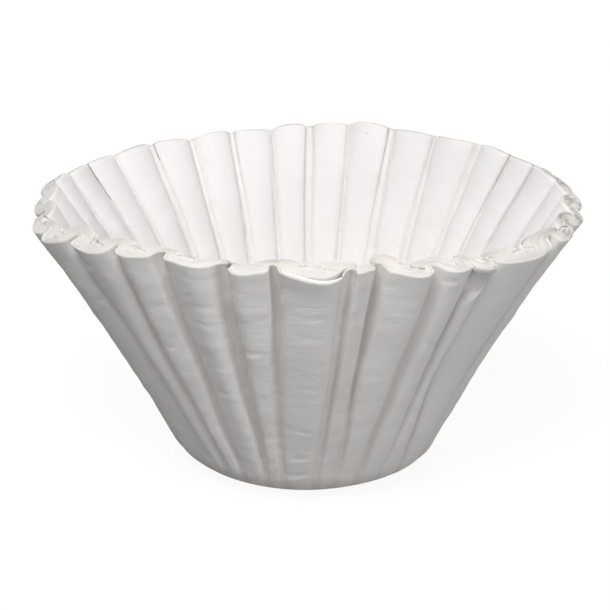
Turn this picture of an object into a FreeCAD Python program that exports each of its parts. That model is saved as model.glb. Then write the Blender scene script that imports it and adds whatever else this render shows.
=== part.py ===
"""Fluted paper basket filters, nested and pressed into one thick cup.

Millimetres, +Z up, origin at the centre of the flat base, -Y towards the steep front.
The sheets are too thin and too tightly pressed to lie apart, so the nest is one solid:
its wall is as thick as the sheets together, and folds in and out as one.
"""
import FreeCAD
import Part
import Sketcher
import math
import os

doc = FreeCAD.newDocument("paper_coffee_filter")

DRIVING_SIZES = (
    # the foot is where the wall, run straight down, would meet the base plane
    ("foot_half_width", 38.1),
    ("base_rounding", 15.8),
    # the mouth is an oval, set back because the front stands steeper
    ("mouth_half_width", 82.0),
    ("mouth_half_depth", 76.0),
    ("mouth_setback", 4.5),
    ("mouth_level", 80.0),
    # every sheet is cut to one length, measured up the wall from the foot
    ("slant_length", 89.5),
    ("flute_depth", 3.9),
    ("sheet_count", 22),
    ("sheet_pitch", 0.15),
)
sizes = doc.addObject("Spreadsheet::Sheet", "sizes")
for row, (alias, value) in enumerate(DRIVING_SIZES, start=1):
    sizes.set(f"A{row}", alias)
    sizes.set(f"B{row}", str(value))
    sizes.setAlias(f"B{row}", alias)
doc.recompute()

# Widths of the flutes in degrees, anticlockwise from the groove at the front left.
# The press gathers the paper unevenly: wide panels in front, narrow ones to the right.
FLUTE_WIDTHS = (
    16, 13, 14, 12, 19, 17, 8.5, 8, 8, 12, 8,
    12, 12.5, 12, 10, 9, 12, 13, 11, 9.5, 10,
    10.5, 10, 10, 10.5, 13, 17, 11, 11, 11, 10,
)
FIRST_GROOVE = 208.0

# Fold lines of one flute: how far across it each lies, and how far below its crest,
# as shares of its width and depth. Outside, a wide panel stands between narrow grooves.
# Inside the thick wall the panel is where the groove was, and the groove at the crest.
OUTSIDE_FOLDS = ((0.0, 1.0), (0.26, 0.12), (0.5, 0.0), (0.74, 0.12))
INSIDE_FOLDS = ((0.0, 1.0), (0.24, 0.88), (0.5, 0.0), (0.76, 0.88))

# The base rounding is turned in short straight steps.
ROUNDING_STEPS = 3

# Shapes that trim the wall lean out past it and reach beyond it by these amounts.
EXTRA_LEAN = 9.0
OVERRUN = 6.0
RIM_REACH_OUT = 12.0
RIM_REACH_IN = 30.0


def size(alias):
    return float(sizes.get(alias))


def foot_share():
    """The foot is a smaller copy of the mouth."""
    return size("foot_half_width") / size("mouth_half_width")


def mouth_radius(bearing):
    """Distance from the axis to the oval mouth, whose centre is set back."""
    across = math.cos(bearing) / size("mouth_half_width")
    along = math.sin(bearing) / size("mouth_half_depth")
    setback = size("mouth_setback") / size("mouth_half_depth")
    square = across ** 2 + along ** 2
    half_linear = along * setback
    return (half_linear + math.sqrt(half_linear ** 2 + square * (1 - setback ** 2))) / square


def mouth_points(folds):
    """Corners of the fluted mouth, round the oval."""
    points = []
    full_turn = sum(FLUTE_WIDTHS)
    groove = FIRST_GROOVE
    for share in FLUTE_WIDTHS:
        width = 360.0 * share / full_turn
        for across, sunk in folds:
            bearing = math.radians(groove + across * width)
            radius = mouth_radius(bearing) - sunk * size("flute_depth")
            points.append((radius * math.cos(bearing), radius * math.sin(bearing)))
        groove += width
    return points


def flute_section(body, name, folds, level, level_expression, raised):
    """Ring of fold lines at one level of a fluted cone that may be raised bodily."""
    climb = (level - raised) / size("mouth_level")
    share = foot_share() + (1 - foot_share()) * climb
    setback = size("mouth_setback")
    corners = [
        FreeCAD.Vector(x * share, (y - setback) * share + setback * climb, 0)
        for x, y in mouth_points(folds)
    ]
    sketch = attached_sketch(body, name, "XY_Plane")
    sketch.setExpression("AttachmentOffset.Base.z", level_expression)
    for start, end in zip(corners, corners[1:] + corners[:1]):
        sketch.addGeometry(Part.LineSegment(start, end), False)
    return sketch


def fluted_body(name, folds, raised):
    """Solid inside one surface of the wall, from the base plane to above the rim."""
    body = doc.addObject("PartDesign::Body", name)
    top = size("slant_length") + OVERRUN
    loft = body.newObject("PartDesign::AdditiveLoft", name + "_loft")
    loft.Profile = flute_section(body, name + "_low", folds, 0.0, "0", raised)
    loft.Sections = [
        flute_section(body, name + "_high", folds, top, f"sizes.slant_length + {OVERRUN}", raised)
    ]
    loft.Ruled = True
    return body


def origin_plane(body, role):
    for feature in body.Origin.OriginFeatures:
        if feature.Role == role:
            return feature
    raise ValueError("no origin plane " + role)


def attached_sketch(body, name, role):
    sketch = body.newObject("Sketcher::SketchObject", name)
    sketch.AttachmentSupport = [(origin_plane(body, role), "")]
    sketch.MapMode = "FlatFace"
    return sketch


def turned_body(name, corners):
    """Solid turned about the axis, from profile corners given as expressions."""
    body = doc.addObject("PartDesign::Body", name)
    sketch = attached_sketch(body, name + "_profile", "XZ_Plane")
    points = [
        FreeCAD.Vector(float(sizes.evalExpression(x)), float(sizes.evalExpression(y)), 0)
        for x, y in corners
    ]
    count = len(corners)
    for index in range(count):
        line = Part.LineSegment(points[index], points[(index + 1) % count])
        sketch.addGeometry(line, False)
    for index, (x, y) in enumerate(corners):
        before = (index - 1) % count
        sketch.addConstraint(Sketcher.Constraint("Coincident", before, 2, index, 1))
        for direction, axis, expression, distance in (
            ("DistanceX", -2, x, points[index].x),
            ("DistanceY", -1, y, points[index].y),
        ):
            if expression == "0":
                sketch.addConstraint(Sketcher.Constraint("PointOnObject", index, 1, axis))
            else:
                constraint = Sketcher.Constraint(direction, -1, 1, index, 1, distance)
                number = sketch.addConstraint(constraint)
                sketch.setExpression(f"Constraints[{number}]", expression)
    turned = body.newObject("PartDesign::Revolution", name + "_turned")
    turned.Profile = sketch
    turned.ReferenceAxis = (sketch, ["V_Axis"])
    turned.Angle = 360
    return body


WALL = "(sizes.sheet_count * sizes.sheet_pitch)"
LEAN = "atan((sizes.mouth_half_width - sizes.foot_half_width) / sizes.mouth_level)"
FLAT_RADIUS = f"(sizes.foot_half_width - sizes.base_rounding * tan(45 deg - {LEAN} / 2))"


def rounding_corners(floor):
    """Steps of the base rounding, about one centre for the outside and the hollow."""
    corners = [("0", floor), (FLAT_RADIUS, floor)]
    radius = f"(sizes.base_rounding - {floor})"
    for step in range(1, ROUNDING_STEPS + 1):
        turn = f"((90 deg - {LEAN} - {EXTRA_LEAN} deg) * {step} / {ROUNDING_STEPS})"
        across = f"{FLAT_RADIUS} + {radius} * sin({turn})"
        up = f"sizes.base_rounding - {radius} * cos({turn})"
        corners.append((across, up))
    return corners


def outside_envelope():
    """Rounded base, and the rim cut square to the wall at the sheets' full length."""
    def rim_corner(reach):
        across = f"sizes.foot_half_width + sizes.slant_length * sin({LEAN}) + {reach} * cos({LEAN})"
        up = f"sizes.slant_length * cos({LEAN}) - {reach} * sin({LEAN})"
        return across, up

    outer = rim_corner(RIM_REACH_OUT)
    inner = rim_corner(-RIM_REACH_IN)
    return turned_body("outside_envelope", rounding_corners("0") + [outer, inner, ("0", inner[1])])


def hollow_envelope():
    """Rounded floor one wall above the base, open past the rim."""
    top = f"sizes.slant_length + {OVERRUN}"
    outer = ("sizes.foot_half_width + sizes.slant_length", top)
    return turned_body("hollow_envelope", rounding_corners(WALL) + [outer, ("0", top)])


def boolean(kind, name, base, tool):
    result = doc.addObject("Part::" + kind, name)
    result.Base = base
    result.Tool = tool
    return result


wall_raise = float(sizes.evalExpression(f"{WALL} / sin({LEAN})"))
fluted_outside = fluted_body("fluted_outside", OUTSIDE_FOLDS, 0.0)
fluted_hollow = fluted_body("fluted_hollow", INSIDE_FOLDS, wall_raise)
outside = boolean("Common", "outside", fluted_outside, outside_envelope())
hollow = boolean("Common", "hollow", fluted_hollow, hollow_envelope())
nested_filters = boolean("Cut", "nested_filters", outside, hollow)
doc.recompute()

for item in doc.Objects:
    if "Invalid" in item.State or "Error" in item.State:
        raise RuntimeError("failed: " + item.Name)
if nested_filters.Shape.isNull() or not nested_filters.Shape.isValid():
    raise RuntimeError("no valid shape: " + nested_filters.Label)

os.makedirs("parts", exist_ok=True)
nested_filters.Shape.exportStep(f"parts/{nested_filters.Label}.step")
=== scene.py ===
import math
import random

import bpy
import numpy as np
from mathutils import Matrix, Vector, noise


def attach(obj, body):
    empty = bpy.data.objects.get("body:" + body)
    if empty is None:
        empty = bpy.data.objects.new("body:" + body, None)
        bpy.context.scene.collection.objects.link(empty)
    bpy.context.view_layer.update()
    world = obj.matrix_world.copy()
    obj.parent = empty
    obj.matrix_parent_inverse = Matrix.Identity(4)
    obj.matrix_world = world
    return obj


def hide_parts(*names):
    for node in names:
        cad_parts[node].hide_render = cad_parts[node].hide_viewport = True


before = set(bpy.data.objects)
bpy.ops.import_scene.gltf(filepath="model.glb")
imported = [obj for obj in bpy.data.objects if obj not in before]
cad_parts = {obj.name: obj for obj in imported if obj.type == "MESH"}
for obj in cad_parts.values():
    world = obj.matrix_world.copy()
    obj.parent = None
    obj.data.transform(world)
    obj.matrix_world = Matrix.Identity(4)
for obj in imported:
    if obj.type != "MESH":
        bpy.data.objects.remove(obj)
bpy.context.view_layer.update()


# The camera looks slightly down at the nest from half a metre in front of it, through the long lens
# that gives the photograph's outline.
MM = 0.001
CAMERA_DISTANCE = 496 * MM
CAMERA_RISE = math.radians(22.45)
AIM_HEIGHT = 45.84 * MM
LENS = 96.55
SENSOR_WIDTH = 36
CLOSEST_SEEN = 10 * MM

bpy.ops.object.camera_add(
    location=(
        0,
        -CAMERA_DISTANCE * math.cos(CAMERA_RISE),
        AIM_HEIGHT + CAMERA_DISTANCE * math.sin(CAMERA_RISE),
    ),
    rotation=(math.pi / 2 - CAMERA_RISE, 0, 0),
)
camera = bpy.context.object
camera.name = "camera"
camera.data.lens = LENS
camera.data.sensor_width = SENSOR_WIDTH
camera.data.clip_start = CLOSEST_SEEN
bpy.context.scene.camera = camera
bpy.context.scene.view_settings.view_transform = "Standard"


# The outermost sheet of the nest: a round blank of white crepe paper, pressed between fluted dies
# into a flat base, a rounding and a leaning fluted wall. It lies on the other sheets, and at the
# front it has slipped down a little from the rim.

# Sizes are in mm, and a place's travel is its distance along the paper from the base's centre.
FLAT_RADIUS = 28.16
ROUNDING = 15.84
FOOT_LEAN = math.radians(25.6)
WALL_LENGTH = 79.8
WALL_START = FLAT_RADIUS + ROUNDING * (math.pi / 2 - FOOT_LEAN)
BLANK_RADIUS = WALL_START + WALL_LENGTH
SHEET_THICKNESS = 0.15
BACK_DISTANCE = 2.2
NEST_THICKNESS = 3.3

# How far the wall leans out at the rim, in degrees: all round, in swings that make the mouth an oval
# (swings in a turn, sine share, cosine share), and at three places (bearing, half width, more lean).
RIM_LEAN = 27.8
LEAN_SWINGS = ((1, 6.7, -2.3), (2, -2.7, 4.9), (4, 0.0, 1.5))
LEAN_PLACES = ((172, 13, -4.6), (199, 11, 1.4), (344, 17, 3.0))

# The foot is fuller at the right front: bearing and half width in degrees, and mm.
FOOT_BULGE = (317, 20, 1.3)


def smooth(low, high, value):
    """Rises smoothly from 0 at low to 1 at high."""
    share = np.clip((value - low) / (high - low), 0.0, 1.0)
    return share * share * (3 - 2 * share)


def plateau(value, start, full, until, end):
    """Rises from 0 at start to 1 at full, and falls back between until and end."""
    return smooth(start, full, value) * (1 - smooth(until, end, value))


def hill(value, middle, half_width):
    """1 at the middle, falling to 0 on both sides of it."""
    return np.exp(-(((value - middle) / half_width) ** 2))


def away_from(middle, degrees):
    """The angle from one bearing to others, from -180 to 180 degrees."""
    return (degrees - middle + 180) % 360 - 180


def between(first, last, share):
    """The value that lies that share of the way from the first to the last."""
    return first * (1 - share) + last * share


def way_up(travel):
    """The share of the way up the wall, 0 on the base."""
    return np.clip((travel - WALL_START) / WALL_LENGTH, 0.0, 1.05)


def wall_line(bearing, travel):
    """Radius, height and lean of the smooth cup that the flutes are pressed into."""
    degrees = np.degrees(bearing) % 360
    rim_lean = RIM_LEAN
    for swings, sine, cosine in LEAN_SWINGS:
        rim_lean = rim_lean + sine * np.sin(swings * bearing) + cosine * np.cos(swings * bearing)
    for centre, half_width, more in LEAN_PLACES:
        rim_lean = rim_lean + more * hill(away_from(centre, degrees), 0, half_width)

    turn = np.clip((travel - FLAT_RADIUS) / ROUNDING, 0.0, math.pi / 2 - FOOT_LEAN)
    climb = np.maximum(travel - WALL_START, 0.0)
    bend = (np.radians(rim_lean) - FOOT_LEAN) * climb / WALL_LENGTH / 2
    run = climb * np.sinc(bend / math.pi)
    radius = np.minimum(travel, FLAT_RADIUS) + ROUNDING * np.sin(turn) + run * np.sin(FOOT_LEAN + bend)
    height = ROUNDING * (1 - np.cos(turn)) + run * np.cos(FOOT_LEAN + bend)
    lean = np.where(climb > 0, FOOT_LEAN + 2 * bend, math.pi / 2 - turn)

    centre, half_width, bulge = FOOT_BULGE
    low = plateau(travel, FLAT_RADIUS, WALL_START, WALL_START + 8, WALL_START + 45)
    return radius + bulge * hill(degrees, centre, half_width) * low, height, lean


# Each groove of the outside: bearing at the rim, how far it drifts on its way to the foot (both in
# degrees), its opening in mm at the rim, its share of the full depth, how far its mouth leans to one
# side in mm, how much of the depth the lobe after it lacks, and the opening of that lobe's crease on
# the inside in mm.
GROOVES = (
    (3.0, 2, 3.4, 0.95, 0.5, 0.0, 1.56),
    (13.5, 7, 3.0, 1.0, -0.6, 0.0, 1.2),
    (25.0, 6, 3.2, 0.9, 0.4, 0.0, 1.44),
    (34.0, 5, 3.0, 0.9, 0.7, 0.0, 1.8),
    (46.5, 2, 4.2, 1.0, -0.4, 0.0, 1.68),
    (61.0, -1, 4.0, 1.0, 0.3, 0.05, 2.76),
    (73.0, -1, 3.6, 0.95, 0.8, 0.0, 1.2),
    (83.7, 0, 3.3, 0.95, -0.5, 0.0, 2.52),
    (94.0, 0, 3.2, 1.0, 0.6, 0.0, 0.9),
    (104.0, 0, 3.4, 0.9, -0.8, 0.1, 2.16),
    (114.0, 0, 3.4, 0.95, 0.5, 0.0, 1.8),
    (125.5, -1, 3.8, 1.0, -0.6, 0.05, 2.4),
    (137.0, -5, 3.6, 0.95, 0.9, 0.0, 0.96),
    (147.5, -7, 3.2, 0.9, -0.4, 0.0, 1.32),
    (156.0, -8, 2.8, 0.85, 0.6, 0.0, 1.56),
    (165.0, -7, 2.8, 0.9, -0.7, 0.0, 1.44),
    (175.0, -3, 2.8, 1.0, 0.8, 0.0, 1.2),
    (184.8, 4, 2.6, 1.1, -0.9, 0.0, 1.08),
    (195.2, 11, 2.6, 1.1, 0.9, 0.0, 1.32),
    (209.2, 19, 3.6, 1.15, -0.7, 0.0, 1.44),
    (223.8, 13, 3.0, 1.05, 0.8, 0.0, 1.08),
    (236.5, 8, 3.8, 0.95, -0.3, 0.0, 1.2),
    (251.6, 3, 4.8, 1.0, -1.3, 0.0, 1.56),
    (263.3, -2, 3.2, 0.95, 0.4, 0.0, 1.44),
    (279.6, -5, 5.4, 0.95, -0.8, 0.5, 4.2),
    (286.0, -4, 2.8, 1.15, 0.3, 0.0, 1.56),
    (299.8, -8, 3.2, 0.95, 0.9, 0.0, 1.32),
    (308.8, -8, 1.4, 0.85, 0.5, 0.05, 1.2),
    (315.5, -5.5, 1.8, 0.95, 0.9, 0.0, 1.44),
    (336.5, -12, 3.2, 1.1, -0.9, 0.1, 1.44),
    (345.5, -8, 3.0, 1.05, 0.8, 0.0, 1.44),
    (354.5, -3, 3.0, 1.0, -0.6, 0.0, 1.68),
)
BEARING, DRIFT, OPENING, DEPTH_SHARE, TUCK, LACK, CREASE = np.array(GROOVES).T[:, :, None, None]
NUMBER = np.arange(len(GROOVES))[:, None, None]

# No groove or crease is wider than a share of the way to the next, and the creases inside stay open.
WIDEST = 0.42
NARROWEST_CREASE = 0.7
FOOT_CREASE_GAIN = 0.9

# Slow waves along the flutes, out of step from flute to flute: size, length in mm and phase. They
# move a groove sideways, in mm, and change its width and its depth by a share.
SWAY_WAVES = ((0.3, 12.0, 2.4), (0.12, 5.3, 4.1))
WIDTH_WAVE = (0.15, 13.0, 1.7)
DEPTH_WAVE = (0.1, 17.0, 3.3)

# The depth of the flutes at the rim and the foot. They are nearly flat at the foot of the left front,
# and inside below the rim there: bearing, half width, share of the depth that is missing.
FLUTE_DEPTH = 3.9
FOOT_FLUTE_DEPTH = 0.7
PLAIN_FOOT = (226, 13, 0.75)
PLAIN_INSIDE = (248, 17, 0.7)

# The width of the flanks beside each groove at the rim, and how much they widen towards the foot, in
# mm. No flank takes more than a share of its span, and they differ from each other by up to a share.
FLANK = 1.1
FLANK_GAIN = 1.4
WIDEST_FLANK = 0.8
FLANK_UNEVENNESS = 0.5

# The columns of points bunch a little towards the flanks. The lobes are crowned by a share of their
# width, up to a limit in mm, skewed unevenly, and set back by a share of the crown on the outside.
# They lean over by a share of what their grooves lean. From one bearing on, the grooves of the
# innermost sheet lack a share of their lean.
BUNCHING = 0.4
CROWN_SHARE = 0.075
CROWN_LIMIT = 1.1
CROWN_SKEW = 0.45
SET_BACK = 0.7
LOBE_LEAN = 0.6
INSIDE_LEAN_LACK = 0.7
INSIDE_LEAN_START = 160

# At the right front one pleat is folded over this lobe: the groove after the lobe bends over it by so
# many degrees halfway up, and a slanted edge, which rises from one share of the way up to another,
# steps down to the lobe by a share of its depth. The step fades out below the rim.
OVERLAPPED_LOBE = 27
OVERLAP_BEND = 3.2
OVERLAP_EDGE = (0.81, 0.92)
OVERLAP_TOP = (0.945, 0.985)
OVERLAP_DEPTH = 0.8
OVERLAP_SOFTNESS = 0.16


def next_one(values, turn=0.0):
    """Each groove gets the next groove's value, with a full turn added where the count starts again."""
    moved = np.roll(values, -1, axis=0)
    moved[-1] += turn
    return moved


def one_before(values, turn=0.0):
    """Each groove gets the value of the groove before it, less a full turn at the first."""
    moved = np.roll(values, 1, axis=0)
    moved[0] -= turn
    return moved


def waver(travel, size, length, phase):
    """A slow wave along each flute, out of step with its neighbours' waves."""
    return size * np.sin(travel / length + phase * NUMBER)


def off_base(travel):
    """0 on the flat base, rising to 1 a little way up the wall."""
    return smooth(FLAT_RADIUS + 8, WALL_START + 12, travel)


def flute_edges(travel, share_in):
    """The bearings at which the paper falls into each groove and rises out of it, in degrees.

    Also the way from each groove to the next, and the size of a degree there, both in mm.
    """
    up = way_up(travel)
    radius = wall_line(np.full_like(travel, math.pi / 4), travel)[0]
    degree = np.radians(np.maximum(radius, 6.0))

    sway = sum(waver(travel, *wave) for wave in SWAY_WAVES)
    centres = BEARING + DRIFT * (1 - up) ** 1.2 + sway * off_base(travel) / degree
    centres[OVERLAPPED_LOBE + 1] -= OVERLAP_BEND * np.sin(math.pi * np.clip(up, 0, 1))
    following = next_one(centres, 360)
    lobe_centres = (centres + following) / 2
    spacing = (following - centres) * degree

    breath = 1 + waver(travel, *WIDTH_WAVE)
    nearest = np.minimum(spacing, one_before(spacing))
    groove = np.minimum(OPENING * breath * (0.8 + 0.2 * up), WIDEST * nearest) / degree
    closing = (next_one(TUCK) - TUCK) * up
    crease = np.maximum(CREASE * breath, closing + NARROWEST_CREASE) + FOOT_CREASE_GAIN * (1 - up)
    crease = np.minimum(crease, WIDEST * spacing) / degree

    crease_before_ends = one_before(lobe_centres, 360) + one_before(crease) / 2
    falls = between(centres - groove / 2, crease_before_ends, share_in)
    rises = between(centres + groove / 2, lobe_centres - crease / 2, share_in)
    return falls, rises, spacing, degree


def flute_depths(travel):
    """The full depth of the flutes, and each groove's own depth, in mm."""
    up = way_up(travel)
    full = FOOT_FLUTE_DEPTH * off_base(travel) + (FLUTE_DEPTH - FOOT_FLUTE_DEPTH) * up ** 0.85
    centre, half_width, missing = PLAIN_FOOT
    plain = missing * hill(BEARING + DRIFT, centre, half_width) * (1 - up) ** 2
    return full, DEPTH_SHARE * full * (1 + waver(travel, *DEPTH_WAVE)) * (1 - plain)


def column_steps(count):
    """Steps from one flank to the next, and how far the fold has turned at each, from 0 to 1."""
    even = np.arange(count) / count
    step = between(even, (1 - np.cos(math.pi * even)) / 2, BUNCHING)
    return step, (np.sin(math.pi * step) + 0.05 * np.sin(3 * math.pi * step)) / 0.95


def flank_to_flank(start, end, first_flank, last_flank, step):
    """Bearings of the columns from one flank to the next, wider apart on the flanks themselves."""
    span = end - start
    first = np.minimum(first_flank, WIDEST_FLANK * span)
    last = np.minimum(last_flank, WIDEST_FLANK * span)
    ease = (span - (first + last) / 2) * (step - np.sin(2 * math.pi * step) / (2 * math.pi))
    curve = np.sin(math.pi * step) / (2 * math.pi)
    return start + ease + first * (step / 2 + curve) + last * (step / 2 - curve)


def flute_line(travel, layer, points):
    """Bearing, distance inside the lobes' crest and share of the fold, for each place of a sheet.

    travel and layer, which is the distance into the nest, have a number for each row. points are the
    numbers of columns in each groove and on each lobe.
    """
    rows = len(travel)
    travel = travel[:, None]
    layer = layer[:, None]
    up = way_up(travel)
    share_in = layer / NEST_THICKNESS
    falls, rises, spacing, degree = flute_edges(travel, share_in)
    falls_next = next_one(falls, 360)
    full_depth, depth = flute_depths(travel)

    flank = (FLANK + FLANK_GAIN * (1 - up) ** 0.7) / degree
    fall_flank = flank * (1 + FLANK_UNEVENNESS * np.sin(5.1 * NUMBER + 1))
    rise_flank = flank * (1 + FLANK_UNEVENNESS * np.sin(3.7 * NUMBER))
    groove_step, groove_bump = column_steps(points[0])
    lobe_step, lobe_bump = column_steps(points[1])
    blend = smooth(0, 1, lobe_step)
    groove_bearing = flank_to_flank(falls, rises, fall_flank, rise_flank, groove_step)
    lobe_bearing = flank_to_flank(rises, falls_next, rise_flank, next_one(fall_flank), lobe_step)
    lobe_across = (lobe_bearing - rises) / (falls_next - rises)

    tuck = TUCK * up / degree
    calm = 1 - INSIDE_LEAN_LACK * share_in * (BEARING > INSIDE_LEAN_START)
    groove_bearing = groove_bearing - tuck * calm * groove_bump
    lobe_bearing = lobe_bearing + between(tuck, next_one(tuck), blend) * lobe_bump * LOBE_LEAN
    groove_across = (groove_bearing - falls) / (rises - falls)

    centre, half_width, missing = PLAIN_INSIDE
    below_rim = share_in * smooth(0.5, 1.0, up)
    kept = 1 - missing * hill(BEARING, centre, half_width) * below_rim
    lobe_depth = between(depth, next_one(depth), blend)
    groove_drop = depth / 2 * (1 + groove_bump) * kept
    lobe_drop = lobe_depth / 2 * (1 - lobe_bump) * between(kept, next_one(kept), blend)
    lobe_drop = lobe_drop + LACK * lobe_depth * np.sin(math.pi * lobe_step)

    crown = np.minimum(CROWN_SHARE * spacing, CROWN_LIMIT) * (full_depth / FLUTE_DEPTH) ** 0.6
    skew = CROWN_SKEW * np.sin(2.9 * NUMBER + 0.6)
    set_back = SET_BACK * (1 - share_in)
    groove_arch = 4 * groove_across * (1 - groove_across)
    lobe_arch = 4 * lobe_across * (1 - lobe_across) + skew * np.sin(2 * math.pi * lobe_across)
    groove_drop = groove_drop + crown * (set_back + (groove_arch - 0.6) * share_in)
    lobe_drop = lobe_drop + crown * (set_back + 0.4 * lobe_bump - (1 - 0.8 * share_in) * lobe_arch)

    across = lobe_across[OVERLAPPED_LOBE]
    edge_low, edge_high = OVERLAP_EDGE
    above_edge = smooth(0, OVERLAP_SOFTNESS, (up - edge_low) / (edge_high - edge_low) - across)
    recess = OVERLAP_DEPTH * above_edge * (1 - smooth(*OVERLAP_TOP, up)) * (1 - share_in)
    lobe_drop[OVERLAPPED_LOBE] += recess * lobe_depth[OVERLAPPED_LOBE] * (1 - 0.6 * across)

    bearing = np.moveaxis(np.concatenate([groove_bearing, lobe_bearing], axis=2), 1, 0).reshape(rows, -1)
    drop = np.moveaxis(np.concatenate([groove_drop, lobe_drop], axis=2), 1, 0).reshape(rows, -1)
    return np.radians(bearing), drop + layer, drop / np.maximum(full_depth, 0.01)


# The whole nest's rim sits lower at the back, in two long stretches (four bearings, mm), and round
# three places (bearing, half width, mm), and it wavers all round (waves in a turn, mm, phase).
LOW_BACK = 0.8
LOW_STRETCHES = ((84, 104, 142, 176, 2.2), (287, 298, 336, 352, 2.1))
LOW_PLACES = ((50, 14, 0.8), (195, 20, 3.5), (328, 18, 1.9))
RIM_WAVES = ((3, 0.2, 1), (11, 0.3, 0), (19, 0.25, 2))

# Dents push every sheet in and out together: mm, size of the waves in mm and the noise's own seed.
# The fine ones are flatter than they are wide, and fade on the smooth lobe at the front
# (bearing, half width, missing share).
WIDE_DENTS = (0.4, 14.0, 9.0)
FINE_DENTS = (0.16, 5.5, 4.0)
FINE_DENT_FLATNESS = 1.6
FRONT_LOBE = (271, 8, 0.65)


def ripple(bearing, waves):
    """The sum of waves round the rim."""
    return sum(size * np.sin(count * bearing + phase) for count, size, phase in waves)


def rough(places, size, seed):
    """Smooth noise from -1 to 1 at each place, with waves of about that size in mm."""
    flat = places.reshape(-1, 3) / size + seed
    values = [noise.noise(Vector(place)) for place in flat]
    return np.array(values).reshape(places.shape[:-1])


def in_space(radius, bearing, height):
    """Places in mm."""
    return np.stack([radius * np.cos(bearing), radius * np.sin(bearing), height], axis=-1)


def off_front_lobe(bearing):
    """1 all round, but less on the smooth lobe at the front."""
    centre, half_width, missing = FRONT_LOBE
    return 1 - missing * hill(np.degrees(bearing) % 360, centre, half_width)


def dents(bearing, travel):
    """How far the nest's wall is pushed out in mm, the same for every sheet."""
    radius, height, lean = wall_line(bearing, travel)
    places = in_space(radius, bearing, height)
    depth, size, seed = WIDE_DENTS
    pushed = depth * rough(places, size, seed)
    depth, size, seed = FINE_DENTS
    pushed += depth * rough(places * (1, 1, FINE_DENT_FLATNESS), size, seed) * off_front_lobe(bearing)
    return pushed * smooth(FLAT_RADIUS + 4, WALL_START + 12, travel)


def edge_wander(bearing):
    """How far the whole nest's rim rises and falls along the paper, in mm."""
    degrees = np.degrees(bearing) % 360
    low = LOW_BACK * np.maximum(np.sin(bearing), 0)
    for start, full, until, end, depth in LOW_STRETCHES:
        low += depth * plateau(degrees, start, full, until, end)
    for centre, half_width, depth in LOW_PLACES:
        low += depth * hill(degrees, centre, half_width)
    return ripple(bearing, RIM_WAVES) - low


def pressed_places(travel, layer, points, edge_change):
    """The places of a sheet of the nest in mm, with each one's bearing, travel and share of the fold.

    edge_change gives how far the sheet's own edge departs from the whole nest's rim.
    """
    bearing, inward, fold = flute_line(travel, layer, points)
    travel = np.repeat(travel[:, None], bearing.shape[1], axis=1)
    travel = travel + edge_wander(bearing) * smooth(0.6, 1.0, way_up(travel))
    travel = travel + edge_change(bearing, travel)
    inward = inward - dents(bearing, travel)
    radius, height, lean = wall_line(bearing, travel)
    spots = in_space(radius - inward * np.cos(lean), bearing, height + inward * np.sin(lean))
    return spots, bearing, travel, fold


def press_sheet(name, spots, fold):
    """Makes a flat grid of paper and presses it to the given places, closed round and at the base."""
    rows, columns = spots.shape[:2]
    bpy.ops.object.select_all(action="DESELECT")
    bpy.ops.mesh.primitive_grid_add(x_subdivisions=columns, y_subdivisions=rows - 1, size=2)
    sheet = bpy.context.object
    sheet.name = name
    mesh = sheet.data
    flat = np.empty(len(mesh.vertices) * 3)
    mesh.vertices.foreach_get("co", flat)
    flat = flat.reshape(-1, 3)
    column = np.rint((flat[:, 0] + 1) / 2 * columns).astype(int) % columns
    row = np.rint((flat[:, 1] + 1) / 2 * (rows - 1)).astype(int)
    mesh.vertices.foreach_set("co", (spots[row, column] * MM).ravel())
    depth = mesh.attributes.new("fold", "FLOAT", "POINT")
    depth.data.foreach_set("value", fold[row, column])
    bpy.ops.object.mode_set(mode="EDIT")
    bpy.ops.mesh.select_all(action="SELECT")
    bpy.ops.mesh.remove_doubles(threshold=0.002 * MM)
    bpy.ops.mesh.normals_make_consistent(inside=False)
    bpy.ops.object.mode_set(mode="OBJECT")
    bpy.ops.object.shade_smooth()
    return sheet


def outward(spots):
    """The direction that points out of the sheet, at each of its places."""
    around = np.roll(spots, -1, axis=1) - np.roll(spots, 1, axis=1)
    up = np.gradient(spots, axis=0)
    normal = np.cross(around, up)
    return normal / np.maximum(np.linalg.norm(normal, axis=-1, keepdims=True), 1e-9)


def clear_of_edges(rows_travel, travel):
    """1 on the wall, 0 on the base and at the rim."""
    below_rim = 1 - smooth(BLANK_RADIUS - 5, BLANK_RADIUS - 1, rows_travel)
    return smooth(FLAT_RADIUS, WALL_START, travel) * below_rim[:, None]


# The travel of the rows on the flat base, going up on the face and coming back on the back.
FACE_BASE_ROWS = (0.0, 7.0, 14.0, 20.0, 24.5)
BACK_BASE_ROWS = (20.0, 7.0, 0.0)


def sheet_rows(wall_rows):
    """The travel of a sheet's rows, up its face to the rim and down its back, and the face's rows."""
    face = np.concatenate([
        FACE_BASE_ROWS,
        np.linspace(FLAT_RADIUS, WALL_START, 15)[:-1],
        np.linspace(WALL_START, BLANK_RADIUS, wall_rows),
    ])
    back = np.concatenate([
        np.linspace(BLANK_RADIUS, WALL_START, 9),
        np.linspace(WALL_START, FLAT_RADIUS, 8)[1:],
        BACK_BASE_ROWS,
    ])
    return np.concatenate([face, back]), len(face)


def sheet_layers(travel, face_rows, face_layer, thickness):
    """How far each row of a sheet is into the nest.

    The back's first row is the cut edge, one thickness from the face. The others are further off.
    """
    layer = np.full(len(travel), face_layer)
    layer[face_rows:] += BACK_DISTANCE * thickness
    layer[face_rows] = face_layer + thickness
    return layer


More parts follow.
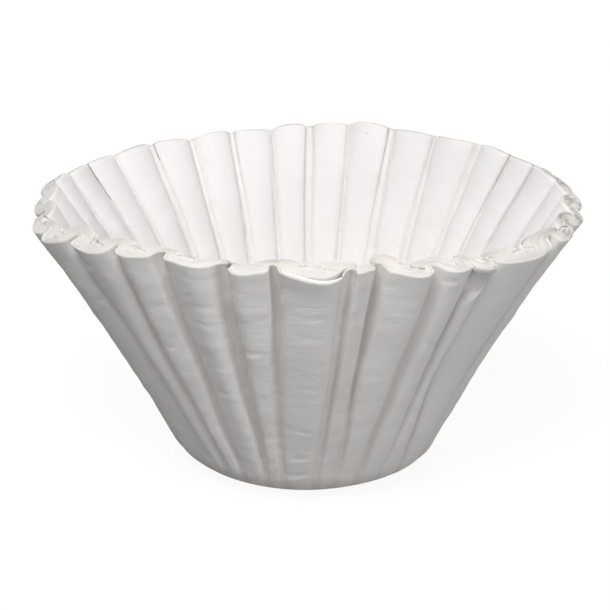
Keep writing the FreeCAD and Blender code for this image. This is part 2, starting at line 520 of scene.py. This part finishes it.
# Short creases pressed into the lobes: bearing, share of the way up the wall, length and depth in mm,
# and slant in mm over that length. These are where the photograph shows them. The soft paper keeps a
# share of each depth.
CREASES = (
    (214.0, 0.90, 5.0, 0.45, 1.2),
    (211.0, 0.72, 5.0, 0.35, 0.6),
    (233.4, 0.61, 2.6, 0.45, 1.4),
    (244.4, 0.87, 3.4, 0.28, -0.6),
    (245.8, 0.83, 3.4, 0.32, -0.6),
    (246.8, 0.75, 3.6, 0.32, -0.3),
    (247.0, 0.56, 3.2, 0.42, -0.8),
    (246.4, 0.43, 3.2, 0.45, 1.4),
    (257.6, 0.65, 3.6, 0.50, 0.0),
    (270.7, 0.862, 3.6, 0.38, -1.4),
    (273.0, 0.818, 3.8, 0.50, -4.4),
    (271.3, 0.727, 3.2, 0.28, -1.0),
    (271.5, 0.49, 5.0, 0.25, 0.8),
    (265.4, 0.92, 2.2, 0.50, 4.5),
    (269.2, 0.27, 3.6, 0.38, -0.6),
    (268.0, 0.12, 5.0, 0.35, 0.9),
    (267.0, 0.02, 6.5, 0.40, 1.6),
    (304.0, 0.62, 4.0, 0.30, 0.5),
    (303.5, 0.93, 6.0, 0.40, 1.2),
    (311.0, 0.93, 4.0, 0.35, 0.3),
    (322.0, 0.40, 5.0, 0.30, 0.4),
)

# Fainter ones fall by chance all round, but not on the smooth front lobe.
SPARE_CREASES = 80
NO_SPARE_CREASES = (262, 280)
chance = random.Random(11)
spare_creases = [
    (
        chance.uniform(0, 360),
        chance.uniform(0.05, 0.95),
        chance.uniform(2, 6),
        chance.uniform(0.03, 0.12),
        chance.uniform(-1.5, 1.5),
    )
    for _ in range(SPARE_CREASES)
]
spare_creases = tuple(
    crease for crease in spare_creases if not NO_SPARE_CREASES[0] < crease[0] < NO_SPARE_CREASES[1]
)

# The share of a crease's depth that is kept, the width of its valley, the bow of its line, its ends,
# and the ridge below it, which is lower than the valley is deep. The wall's radius, near enough for
# this, is that of the foot and widens upwards.
KEPT_DEPTH = 0.66
CREASE_WIDTH = 0.85
CREASE_BOW = 0.25
CREASE_END = 1.6
RIDGE_SHARE = 0.7
RIDGE_PLACE = 1.5
FOOT_RADIUS = FLAT_RADIUS + 14
WALL_SPREAD = 0.45


def crease_height(bearing, travel):
    """How far the creases lift the paper in mm: each is a small valley with a ridge below it."""
    lift = np.zeros_like(travel)
    for centre, rise, length, depth, slant in CREASES + spare_creases:
        climb = rise * WALL_LENGTH
        radius = FOOT_RADIUS + climb * WALL_SPREAD
        across = np.radians(away_from(centre, np.degrees(bearing))) * radius / (length / 2)
        line = WALL_START + climb + slant * across / 2 + CREASE_BOW * across * across
        step = (travel - line) / (CREASE_WIDTH * math.hypot(1, slant / length))
        shape = RIDGE_SHARE * np.exp(-((step + RIDGE_PLACE) ** 2)) - np.exp(-step * step)
        lift += KEPT_DEPTH * depth * shape * np.exp(-across ** 4) * (np.abs(across) < CREASE_END)
    return lift


# The sheet has slipped down at the top of the front lobe (four bearings, mm) and peeled away from the
# nest there, and its edge is uneven all round.
SLIP = (263.5, 277, 277.5, 279.5)
SLIP_DEPTH = 1.7
PEEL = (264, 268, 273, 278.5)
PEEL_WIDTH = 0.9
EDGE_DROP = 0.1
EDGE_WAVES = ((7, 0.15, 0), (23, 0.12, 1))


def rim_slip(bearing, travel):
    """How far the outermost sheet's edge departs from the nest's rim, in mm."""
    slip = SLIP_DEPTH * plateau(np.degrees(bearing) % 360, *SLIP)
    return -(slip + EDGE_DROP + ripple(bearing, EDGE_WAVES)) * smooth(0.86, 1.0, way_up(travel))


def peel(bearing, travel):
    """How far the outermost sheet has come away from the nest, in mm."""
    return PEEL_WIDTH * smooth(0.88, 1.02, way_up(travel)) * plateau(np.degrees(bearing) % 360, *PEEL)


# Columns in each groove and on each lobe, rows up the wall, and the fine crumple of the surface.
OUTER_POINTS = (7, 14)
OUTER_WALL_ROWS = 108
CRUMPLE = 0.045
CRUMPLE_SIZE = 4.0
CRUMPLE_FLATNESS = 1.8
CRUMPLE_SEED = 14.0

rows_travel, face_rows = sheet_rows(OUTER_WALL_ROWS)
layer = sheet_layers(rows_travel, face_rows, 0.0, SHEET_THICKNESS)
spots, bearing, travel, fold = pressed_places(rows_travel, layer, OUTER_POINTS, rim_slip)
crumple = CRUMPLE * rough(spots * (1, 1, CRUMPLE_FLATNESS), CRUMPLE_SIZE, CRUMPLE_SEED)
lift = crease_height(bearing, travel) + crumple * off_front_lobe(bearing)
lift = lift * clear_of_edges(rows_travel, travel) + peel(bearing, travel)
lift[face_rows + 1:] = 0
spots += outward(spots) * lift[:, :, None]
outer_sheet = press_sheet("outer_sheet", spots, fold)


# The sheets between the outermost and the innermost one, of the same crepe paper, nested and pressed
# together. Their cut edges make the soft, finely lined band along the rim: a ridge for each sheet,
# and a gap between neighbours.
PACKED_SHEETS = 20
PACKED_POINTS = (13, 13)
PACKED_FACE = 1.0
PACKED_BACK = NEST_THICKNESS - PACKED_FACE
FIRST_EDGE = 2 * SHEET_THICKNESS
LAST_EDGE = NEST_THICKNESS - 2 * SHEET_THICKNESS
SIDE_END = BLANK_RADIUS - 1.2
EDGE_GAP = 0.14
EDGE_WANDER = 0.12

# Where the sheets fan out, seen at the far left and the far right: bearing and half width.
FANS = ((165, 18), (5, 22))
FAN_GAIN = 1.5

edge_layers = np.linspace(FIRST_EDGE, LAST_EDGE, 2 * PACKED_SHEETS + 1)
side_travel = np.concatenate([
    [0.0, 14.0],
    np.linspace(FLAT_RADIUS, WALL_START, 8)[:-1],
    np.linspace(WALL_START, SIDE_END, 12),
])
side_rows = len(side_travel)
rows_travel = np.concatenate([side_travel, np.full(len(edge_layers), BLANK_RADIUS), side_travel[::-1]])
layer = np.concatenate([np.full(side_rows, PACKED_FACE), edge_layers, np.full(side_rows, PACKED_BACK)])
layer[side_rows - 1] = FIRST_EDGE
layer[-side_rows] = LAST_EDGE


def cut_edges(bearing, travel):
    """Each sheet ends a little higher or lower than its neighbours, most where the nest fans out."""
    change = np.zeros_like(travel)
    degrees = np.degrees(bearing)
    fan = sum(hill(away_from(centre, degrees), 0, half_width) for centre, half_width in FANS)
    luck = random.Random(5)
    for index in range(len(edge_layers)):
        row = side_rows + index
        phase = luck.uniform(0, 6.28)
        beat = luck.choice((5, 7, 9, 11, 13))
        wander = luck.uniform(-EDGE_WANDER, EDGE_WANDER) + EDGE_WANDER * np.sin(beat * bearing[row] + phase)
        change[row] = wander * (1 + FAN_GAIN * fan[row])
        if index % 2 == 0:
            change[row] -= EDGE_GAP
    return change


spots, bearing, travel, fold = pressed_places(rows_travel, layer, PACKED_POINTS, cut_edges)
packed_sheets = press_sheet("packed_sheets", spots, fold)


# The innermost sheet: a blank of the same crepe paper, pressed into the same flutes and smoother than
# the outside, with wide flat panels between narrow creases. Its edge is nearly even.
INNER_POINTS = (14, 7)
INNER_WALL_ROWS = 100
INNER_EDGE_DROP = 0.2
INNER_EDGE_WAVES = ((9, 0.15, 2), (31, 0.12, 0), (74, 0.12, 1))
UNEVENNESS = 0.15
UNEVENNESS_SIZE = 4.5
UNEVENNESS_FLATNESS = 0.7
UNEVENNESS_SEED = 24.0


def inner_edge(bearing, travel):
    """How far the innermost sheet's edge departs from the nest's rim, in mm."""
    return (ripple(bearing, INNER_EDGE_WAVES) - INNER_EDGE_DROP) * smooth(0.9, 1.0, way_up(travel))


rows_travel, face_rows = sheet_rows(INNER_WALL_ROWS)
layer = sheet_layers(rows_travel, face_rows, NEST_THICKNESS, -SHEET_THICKNESS)
spots, bearing, travel, fold = pressed_places(rows_travel, layer, INNER_POINTS, inner_edge)
lift = UNEVENNESS * rough(spots * (1, 1, UNEVENNESS_FLATNESS), UNEVENNESS_SIZE, UNEVENNESS_SEED)
lift = lift * clear_of_edges(rows_travel, travel)
lift[face_rows + 1:] = 0
spots += outward(spots) * lift[:, :, None]
# The inner sheet's share of the fold is turned round, so that its painted shade lies in the creases that
# open to the inside.
inner_sheet = press_sheet("inner_sheet", spots, 1 - np.clip(fold, 0, 1))


# The paper's finish: white, unglazed crepe, finely wrinkled across the flutes, with short fibres and an
# uneven cloudy tone. Down in the folds it is painted darker and warmer: painted shade. The patterns' sizes
# are in waves per metre.
PAPER_WHITE = (0.88, 0.865, 0.856, 1.0)
# The darker, warmer colour that paints shade down in the folds, and all over the packed sheets.
PAPER_WARM_SHADE = (0.76, 0.72, 0.665, 1.0)
CREPE_WAVES = (220, 220, 900)
FIBRE_WAVES = 2600.0
CLOUD_WAVES = 90.0
CLOUD_STRENGTH = 0.35
PAPER_ROUGHNESS = 0.82
PAPER_SPECULAR = 0.25
# The share of a fold's depth at which its painted shade begins.
FOLD_SHADE_START = 0.35
FIBRE_ROUGHNESS = 0.12
FIBRE_HEIGHT = 0.3
BUMP_STRENGTH = 0.7
BUMP_HEIGHT = 0.4 * MM


class Shade:
    """A socket of a material, with the operators that the patterns below use."""

    def __init__(self, tree, socket):
        self.tree = tree
        self.socket = socket

    def node(self, kind, inputs=None, output=0, **settings):
        """Adds a node, sets its settings, then its sockets' values or links, and gives an output."""
        made = self.tree.nodes.new(kind)
        for setting, value in settings.items():
            setattr(made, setting, value)
        for place, value in (inputs or {}).items():
            if isinstance(value, Shade):
                self.tree.links.new(value.socket, made.inputs[place])
            else:
                made.inputs[place].default_value = value
        return Shade(self.tree, made.outputs[output])

    def maths(self, operation, first, second):
        """Works out two values by one of the maths node's operations."""
        return self.node("ShaderNodeMath", {0: first, 1: second}, operation=operation)

    def ramp(self, low, high, last):
        """Rises from 0, where this value is low, to the last value, where it is high."""
        limits = {"Value": self, "From Min": low, "From Max": high, "To Min": 0.0, "To Max": last}
        return self.node("ShaderNodeMapRange", limits, clamp=True)

    def cloudy(self, scale, detail, roughness):
        """Cloudy noise, with this as its place."""
        settings = {"Vector": self, "Scale": scale, "Detail": detail, "Roughness": roughness}
        return self.node("ShaderNodeTexNoise", settings)

    def __add__(self, other):
        return self.maths("ADD", self, other)

    def __mul__(self, other):
        return self.maths("MULTIPLY", self, other)

    def __sub__(self, other):
        return self.maths("SUBTRACT", self, other)

    def __rsub__(self, other):
        return self.maths("SUBTRACT", other, self)

    __radd__ = __add__
    __rmul__ = __mul__


def crepe_paper(name, crepe_strength, fold_shade, shade_all_over):
    """The paper's material, with weaker or stronger crepe lines, painted shade in the folds and painted
    shade all over.
    """
    material = bpy.data.materials.new(name)
    material.use_nodes = True
    tree = material.node_tree
    shader = tree.nodes["Principled BSDF"]
    start = Shade(tree, None)
    place = start.node("ShaderNodeTexCoord", output="Object")
    across = start.node("ShaderNodeMapping", {"Vector": place, "Scale": CREPE_WAVES})
    crepe = across.cloudy(1.0, 5.0, 0.62)
    fibres = place.cloudy(FIBRE_WAVES, 3.0, 0.7)
    cloud = place.cloudy(CLOUD_WAVES, 3.0, 0.5)
    fold = start.node("ShaderNodeAttribute", output="Fac", attribute_name="fold")
    # Painted shade: darker and warmer down in the folds and, by the all-over share, on the packed sheets.
    # The cloud noise is the paper's own uneven tone.
    painted_shade_and_tone = fold.ramp(FOLD_SHADE_START, 1.0, fold_shade) + (cloud - 0.5) * CLOUD_STRENGTH + shade_all_over
    colours = {0: painted_shade_and_tone, 6: PAPER_WHITE, 7: PAPER_WARM_SHADE}
    colour = start.node("ShaderNodeMix", colours, output=2, data_type="RGBA", clamp_factor=True)
    tree.links.new(colour.socket, shader.inputs["Base Color"])
    roughness = PAPER_ROUGHNESS + fibres * FIBRE_ROUGHNESS
    tree.links.new(roughness.socket, shader.inputs["Roughness"])
    height = crepe * crepe_strength + fibres * FIBRE_HEIGHT
    relief = {"Height": height, "Strength": BUMP_STRENGTH, "Distance": BUMP_HEIGHT}
    bump = start.node("ShaderNodeBump", relief)
    tree.links.new(bump.socket, shader.inputs["Normal"])
    shader.inputs["Specular IOR Level"].default_value = PAPER_SPECULAR
    return material


# Each sheet's strength of the crepe lines, painted shade in the folds, and painted shade all over.
FINISHES = (
    (outer_sheet, 0.65, 0.6, 0.0),
    # The packed sheets are painted darker and warmer all over: painted shade for the sheets that lie inside
    # the nest.
    (packed_sheets, 0.5, 0.2, 0.55),
    (inner_sheet, 0.7, 0.5, 0.0),
)
for piece, crepe_strength, fold_shade, shade_all_over in FINISHES:
    piece.data.materials.append(crepe_paper(piece.name + "_paper", crepe_strength, fold_shade, shade_all_over))
    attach(piece, "root")
    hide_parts("nested_filters")


# The studio: a plain pale floor that the camera sees white and that keeps the nest's shadow, in white
# surroundings. A wide soft light hangs above in front, a weaker one stands low at the right front,
# and one behind lights the back.
FLOOR_SIZE = 40.0
FLOOR_DROP = 0.2 * MM
FLOOR_GREY = (0.32, 0.32, 0.32, 1.0)
FLOOR_ROUGHNESS = 0.9

# The white that the camera sees near the nest and far from it, how much of it replaces the floor's
# own grey near the nest, and the distances in metres over which near turns into far.
WHITE_NEAR = 1.24
WHITE_FAR = 1.02
WHITE_SHARE_NEAR = 0.75
NEAR = 0.25
FAR = 1.2
SURROUNDINGS_LIGHT = 0.17

bpy.ops.mesh.primitive_plane_add(size=FLOOR_SIZE, location=(0, 0, -FLOOR_DROP))
floor = bpy.context.object
floor.name = "floor"
material = bpy.data.materials.new("floor")
material.use_nodes = True
tree = material.node_tree
shader = tree.nodes["Principled BSDF"]
shader.inputs["Base Color"].default_value = FLOOR_GREY
shader.inputs["Roughness"].default_value = FLOOR_ROUGHNESS
start = Shade(tree, None)
seen = start.node("ShaderNodeLightPath", output="Is Camera Ray")
place = start.node("ShaderNodeTexCoord", output="Object")
distance = start.node("ShaderNodeVectorMath", {0: place}, output="Value", operation="LENGTH")
far = distance.ramp(NEAR, FAR, 1.0)
white = WHITE_NEAR - far * (WHITE_NEAR - WHITE_FAR)
glow = start.node("ShaderNodeEmission", {"Color": (1, 1, 1, 1), "Strength": white})
white_share = seen * (WHITE_SHARE_NEAR + far * (1 - WHITE_SHARE_NEAR))
floor_mix = start.node("ShaderNodeMixShader", {0: white_share, 1: Shade(tree, shader.outputs[0]), 2: glow})
tree.links.new(floor_mix.socket, tree.nodes["Material Output"].inputs["Surface"])
floor.data.materials.append(material)

world = bpy.data.worlds.new("studio")
bpy.context.scene.world = world
world.use_nodes = True
tree = world.node_tree
sky = tree.nodes["Background"]
sky.inputs["Color"].default_value = (1, 1, 1, 1)
start = Shade(tree, None)
seen = start.node("ShaderNodeLightPath", output="Is Camera Ray")
strength = seen * (1 - SURROUNDINGS_LIGHT) + SURROUNDINGS_LIGHT
tree.links.new(strength.socket, sky.inputs["Strength"])

NEST_MIDDLE = Vector((0, 0, 50 * MM))


def soft_light(name, place, size, power):
    """A square soft box, turned to the middle of the nest: metres and watts."""
    bpy.ops.object.light_add(type="AREA", location=place)
    light = bpy.context.object
    light.name = name
    light.data.size = size
    light.data.energy = power
    light.rotation_euler = (NEST_MIDDLE - Vector(place)).to_track_quat("-Z", "Y").to_euler()


soft_light("key_light", (-0.15, -0.54, 0.98), 0.55, 10.5)
soft_light("right_light", (0.95, -0.86, 0.2), 0.3, 3.2)
soft_light("back_light", (0.1, 1.1, 0.45), 0.5, 3.8)
